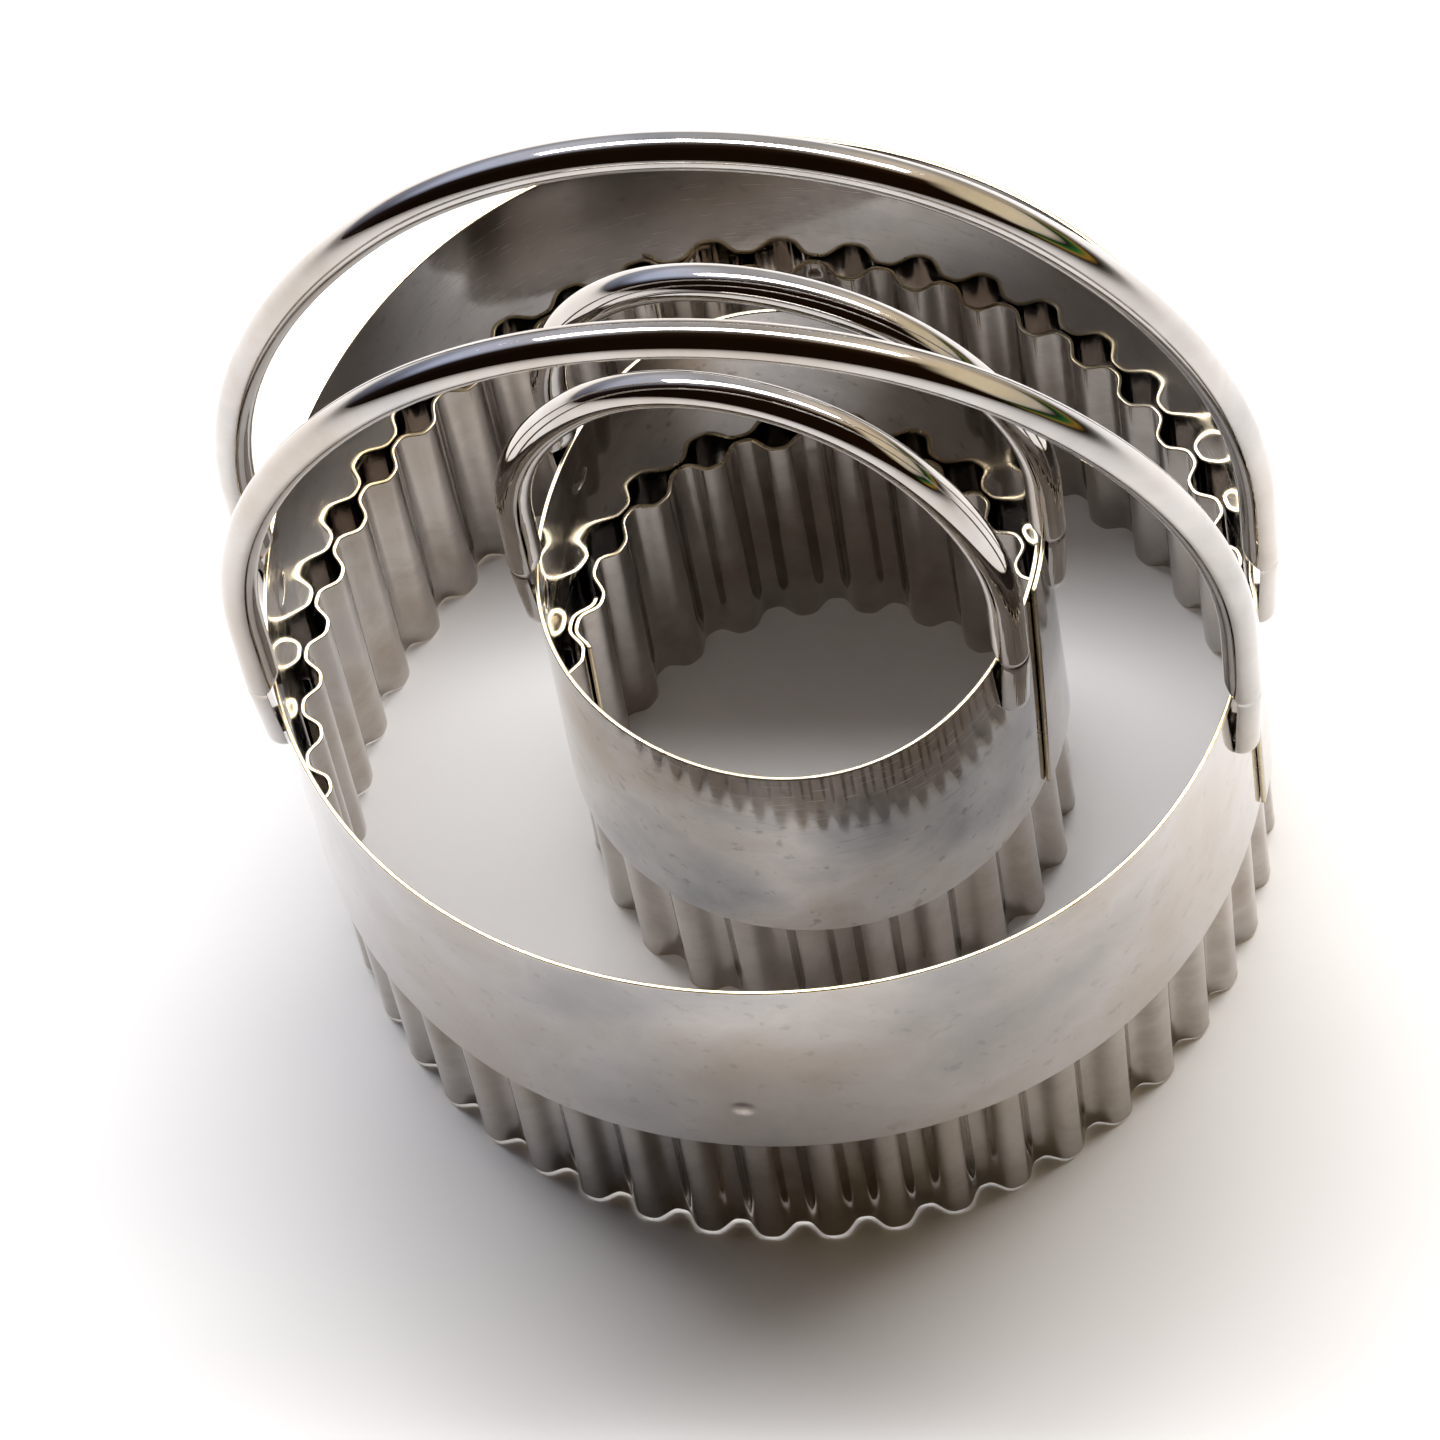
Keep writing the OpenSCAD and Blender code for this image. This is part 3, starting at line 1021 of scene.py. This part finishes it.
    def ring_plugs(self) -> list[Shell]:
        """Makes the welds between crests of the ring and the inside of the band.

        Returns:
            The plugs, from the middle of one sheet to the middle of the other.
        """
        plugs = []
        for mark in self.ring_marks():
            near = float(self.ring_middle(np.array(mark.angle), np.array(mark.height)))
            far = near + self.sheet + self.seat_gap
            plugs.append(self.plug(mark.angle, mark.height, near, far))
        return plugs

    def leg_plugs(self) -> list[Shell]:
        """Makes the welds between the legs and the outside of the band.

        Returns:
            The plugs, from the middle of the sheet to just inside the leg's flat.
        """
        stand = (self.leg - self.weld_up) * math.sin(self.lean())
        plugs = []
        for mark in self.leg_marks():
            near = float(self.band_middle(np.array(mark.angle), np.array(mark.height)))
            crease = self.diameter / 2 + self.seat_gap + self.leg_stand
            face = crease + float(self.wobble(np.array(mark.angle), np.array(self.rim))) - stand
            plugs.append(self.plug(mark.angle, mark.height, near, max(face, near + 0.25) + 0.1))
        return plugs

    def add_plugs(self, kind: str, plugs: list[Shell],
                  materials: list[bpy.types.Material]) -> bpy.types.Object:
        """Makes one piece of all the welds of a kind.

        Args:
            kind: What the welds hold.
            plugs: The welds.
            materials: Material of the weld.

        Returns:
            The piece.
        """
        return add_shells(f"{self.prefix}_{kind}_spots", plugs, materials, self.place())

    def build(self, finishes: dict[str, bpy.types.Material]) -> None:
        """Makes, places and dresses every piece, hides the imported part that it stands for, and
        logs which that is.

        Args:
            finishes: Materials by the names band, ring, edge, wire and weld.
        """
        band = [finishes["band"], finishes["edge"]]
        ring = [finishes["ring"], finishes["edge"]]
        wire, weld = [finishes["wire"]], [finishes["weld"]]
        pieces = [
            (self.add_band(band), "band", "band_sheet"),
            (self.add_ring(ring), "fluted_ring", "ring_sheet"),
            (self.add_handle(Side.FRONT, wire), "front_handle", "handle_wire"),
            (self.add_handle(Side.BACK, wire), "back_handle", "handle_wire"),
            (self.add_plugs("seam", self.seam_plugs(), weld), "seam_welds", "spot_weld"),
            (self.add_plugs("ring", self.ring_plugs(), weld), "ring_welds", "spot_weld"),
            (self.add_plugs("leg", self.leg_plugs(), weld), "handle_welds", "spot_weld"),
        ]
        for piece, node, slot in pieces:
            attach(piece, self.body)
            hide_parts(f"{self.prefix}_{node}")
            LOG.info("%s stands for %s_%s", piece.name, self.prefix, node)


LARGE = Cutter(
    prefix="large", body="large_cutter", diameter=89.0, flutes=46, crest_angle=-90.5,
    flute_drift=Wobble(((1, -2.95, 0.06), (2, 0.3, -1.08)), -0.08),
    offset=6.5, arch=51.5, arch_start=10.0, leg=10.3,
    crowns={Side.FRONT: Crown(-2.0, -1.1), Side.BACK: Crown(1.8, 1.1)},
    rim_wobble=Wobble(((1, -0.27, 0.08), (2, 0.01, -0.68), (3, 0.06, -0.4), (4, -0.33, 0.14),
                       (5, -0.09, -0.02))),
    edge_wobble=Wobble(((2, 0.2, -0.15),)),
    edge_lift=Wobble(((1, -0.09, -0.34),), 0.35),
    band_lap=Lap(start=-5.6, end_top=-10.8, end_bottom=-10.8, ramp=3.6, gap=0.08,
                 layer=Layer.OUTSIDE),
    ring_lap=Lap(start=101.8, end_top=109.6, end_bottom=109.6, ramp=15.7, gap=0.2,
                 layer=Layer.INSIDE),
    seam=-8.2,
)

SMALL = Cutter(
    prefix="small", body="small_cutter", diameter=46.8, flutes=23, crest_angle=-77.4,
    flute_drift=Wobble(((1, 0.69, -3.25),), -3.33),
    offset=0.8, arch=26.5, arch_start=8.5, leg=9.3,
    crowns={Side.FRONT: Crown(0.0, 0.7), Side.BACK: Crown(-0.8, -1.0)},
    rim_wobble=Wobble(((1, -0.04, -0.26), (2, -0.78, -0.47), (3, 0.14, 0.04), (4, -0.22, 0.22))),
    edge_wobble=Wobble(),
    edge_lift=Wobble(),
    band_lap=Lap(start=10.4, end_top=-2.0, end_bottom=-9.0, ramp=16.0, gap=0.1,
                 layer=Layer.OUTSIDE),
    ring_lap=Lap(start=176.2, end_top=191.8, end_bottom=191.8, ramp=15.7, gap=0.2,
                 layer=Layer.INSIDE),
    seam=3.0, ring_mark_depth=0.03,
    x=2.4, y=1.8, turn=-11.3,
)


@dataclass(frozen=True)
class Studio:
    """Plain pale floor, a soft light behind and above, a dim warm room, and the camera.

    Attributes:
        camera_at: Place of the camera in millimetres.
        yaw: How far the camera is turned to the right of straight back.
        pitch: How far it looks down.
        roll: How far it is rolled.
        focal: Focal length in pixels of the photograph.
        frame_side: Side of the photograph in its own pixels.
        sensor: Width of the camera's sensor in millimetres.
        floor_side: Side of the floor in metres, like every length below.
        key_azimuth: Direction of the light, from +X towards +Y.
        key_elevation: Height of the light as an angle.
        key_distance: How far the light is from the origin.
        key_width: Its long side, which is level.
        key_depth: Its short side.
        key_power: Its power in watts.
    """

    camera_at: tuple[float, float, float] = (72.1, -323.95, 607.33)
    yaw: float = -13.63
    pitch: float = 60.44
    roll: float = -11.38
    focal: float = 7291.7
    frame_side: float = 1440.0
    sensor: float = 36.0
    floor_side: float = 6.0
    key_azimuth: float = 86.0
    key_elevation: float = 67.0
    key_distance: float = 0.9
    key_width: float = 1.35
    key_depth: float = 0.2
    key_power: float = 16.0

    def add_camera(self) -> None:
        """Puts the camera where the photograph was taken from and makes it the scene's."""
        yaw, pitch, roll = (math.radians(a) for a in (self.yaw, self.pitch, self.roll))
        ahead = np.array([math.sin(yaw) * math.cos(pitch), math.cos(yaw) * math.cos(pitch),
                          -math.sin(pitch)])
        level = np.cross(ahead, [0.0, 0.0, 1.0])
        level /= np.linalg.norm(level)
        up = np.cross(level, ahead)
        right = math.cos(roll) * level + math.sin(roll) * up
        top = math.cos(roll) * up - math.sin(roll) * level
        lens = bpy.data.cameras.new("camera")
        lens.sensor_fit = "HORIZONTAL"
        lens.sensor_width = self.sensor
        lens.lens = self.focal * self.sensor / self.frame_side
        lens.clip_start = 0.01
        lens.clip_end = 20.0
        camera = bpy.data.objects.new("camera", lens)
        turned = Matrix((right, top, -ahead)).transposed().to_4x4()
        camera.matrix_world = Matrix.Translation([v * MM for v in self.camera_at]) @ turned
        bpy.context.scene.collection.objects.link(camera)
        bpy.context.scene.camera = camera

    def add_floor(self) -> None:
        """Lays the pale matt board that the cutters stand on."""
        half = self.floor_side / 2
        mesh = bpy.data.meshes.new("floor")
        mesh.from_pydata([(-half, -half, 0), (half, -half, 0), (half, half, 0), (-half, half, 0)],
                         [], [(0, 1, 2, 3)])
        material = bpy.data.materials.new("matt white board")
        material.use_nodes = True
        tree = material.node_tree
        tree.nodes.clear()
        place = add_node(tree, "TexCoord", {})
        bump = add_node(tree, "Bump", {"Strength": 0.4, "Distance": 0.02 * MM},
                        Height=add_spots(tree, 1.1111, 3.0, place.outputs["Object"]))
        shader = add_node(tree, "BsdfPrincipled", {"Base Color": linear("#F2F0EE"),
                                                   "Roughness": 0.85, "Specular IOR Level": 0.2},
                          Normal=bump.outputs["Normal"])
        add_node(tree, "OutputMaterial", {}, Surface=shader.outputs["BSDF"])
        mesh.materials.append(material)
        floor = bpy.data.objects.new("floor", mesh)
        bpy.context.scene.collection.objects.link(floor)

    def add_key(self) -> None:
        """Hangs a long strip light, level from side to side, that faces the origin."""
        azimuth, elevation = math.radians(self.key_azimuth), math.radians(self.key_elevation)
        from_centre = np.array([math.cos(azimuth) * math.cos(elevation),
                                math.sin(azimuth) * math.cos(elevation), math.sin(elevation)])
        side = np.cross([0.0, 1.0, 0.0], from_centre)
        side /= np.linalg.norm(side)
        top = np.cross(from_centre, side)
        lamp = bpy.data.lights.new("softbox", "AREA")
        lamp.shape = "RECTANGLE"
        lamp.size = self.key_width
        lamp.size_y = self.key_depth
        lamp.energy = self.key_power
        lamp.color = linear("#FDFDFF")[:3]
        light = bpy.data.objects.new("softbox", lamp)
        place = Matrix.Translation(from_centre * self.key_distance)
        light.matrix_world = place @ Matrix((side, top, from_centre)).transposed().to_4x4()
        bpy.context.scene.collection.objects.link(light)

    def add_room(self) -> None:
        """Fills the room: light grey behind the cutters, dark brown overhead and in front.

        High at both sides it is lit, bluish white on the left and warm white on the right. Low
        on the right, a gold and green strip stands for the coloured things that the outer
        sides of the right legs mirror.
        """
        world = bpy.data.worlds.new("room")
        world.use_nodes = True
        tree = world.node_tree
        tree.nodes.clear()
        look = add_node(tree, "TexCoord", {})
        parts = add_node(tree, "SeparateXYZ", {}, Vector=look.outputs["Generated"])
        back = add_node(tree, "MapRange", {"From Min": -1.0, "From Max": 1.0},
                        Value=parts.outputs["Y"])
        across = add_node(tree, "MapRange", {"From Min": -1.0, "From Max": 1.0},
                          Value=parts.outputs["X"])
        walls = add_ramp(tree, [(0.3, "#1E1208"), (0.5, "#33241A"), (0.62, "#8A8480"),
                                (0.9, "#D0D0D2")], back.outputs["Result"])
        sides = add_ramp(tree, [(0.0, "#CFDBFF"), (0.5, "#FFFFFF"), (1.0, "#FFE0AC")],
                         across.outputs["Result"])
        off_middle = add_node(tree, "Math", {"operation": "ABSOLUTE"}, _0=parts.outputs["X"])
        beside = add_node(tree, "MapRange", {"From Min": 0.15, "From Max": 0.55,
                                             "interpolation_type": "SMOOTHSTEP"},
                          Value=off_middle.outputs[0])
        behind = add_node(tree, "MapRange", {"From Min": -0.08, "From Max": 0.3,
                                             "interpolation_type": "SMOOTHSTEP"},
                          Value=parts.outputs["Y"])
        above = add_node(tree, "MapRange", {"From Min": 0.12, "From Max": 0.4,
                                            "interpolation_type": "SMOOTHSTEP"},
                         Value=parts.outputs["Z"])
        outer = add_node(tree, "Math", {"operation": "MULTIPLY"}, _0=beside.outputs["Result"],
                         _1=behind.outputs["Result"])
        lit = add_node(tree, "Math", {"operation": "MULTIPLY"}, _0=outer.outputs[0],
                       _1=above.outputs["Result"])
        around = add_node(tree, "Mix", {"data_type": "RGBA"}, Factor=lit.outputs[0],
                          _6=add_tint(tree, 1.0, walls, sides), _7=sides)
        low = add_node(tree, "MapRange", {"From Min": -0.05, "From Max": 0.35},
                       Value=parts.outputs["Z"])
        strip = add_ramp(tree, [(0.0, "#8E8A84"), (0.18, "#201C14"), (0.27, "#A67E34"),
                                (0.36, "#2C6E34"), (0.47, "#1E1A16"), (0.62, "#E6DAC4"),
                                (0.95, "#FFEBC6")], low.outputs["Result"])
        right = add_node(tree, "MapRange", {"From Min": 0.72, "From Max": 0.84,
                                            "interpolation_type": "SMOOTHSTEP"},
                         Value=parts.outputs["X"])
        colour = add_node(tree, "Mix", {"data_type": "RGBA"}, Factor=right.outputs["Result"],
                          _6=around.outputs[2], _7=strip)
        sky = add_node(tree, "Background", {"Strength": 0.95}, Color=colour.outputs[2])
        add_node(tree, "OutputWorld", {}, Surface=sky.outputs["Background"])
        bpy.context.scene.world = world

    def build(self) -> None:
        """Sets up the whole studio."""
        self.add_camera()
        self.add_floor()
        self.add_room()
        self.add_key()
        bpy.context.scene.view_settings.view_transform = "Standard"
        LOG.info("studio is set")


def main() -> None:
    """Builds the studio and both cutters."""
    logging.basicConfig(level=logging.INFO, format="%(name)s: %(message)s")
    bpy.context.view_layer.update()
    finishes = {"band": BAND_SHEET.material(), "ring": RING_SHEET.material(),
                "edge": CUT_EDGE.material(), "wire": HANDLE_WIRE.material(),
                "weld": SPOT_WELD.material()}
    Studio().build()
    LARGE.build(finishes)
    SMALL.build(finishes | {"band": WORN_BAND.material()})


if __name__ == "__main__":
    main()
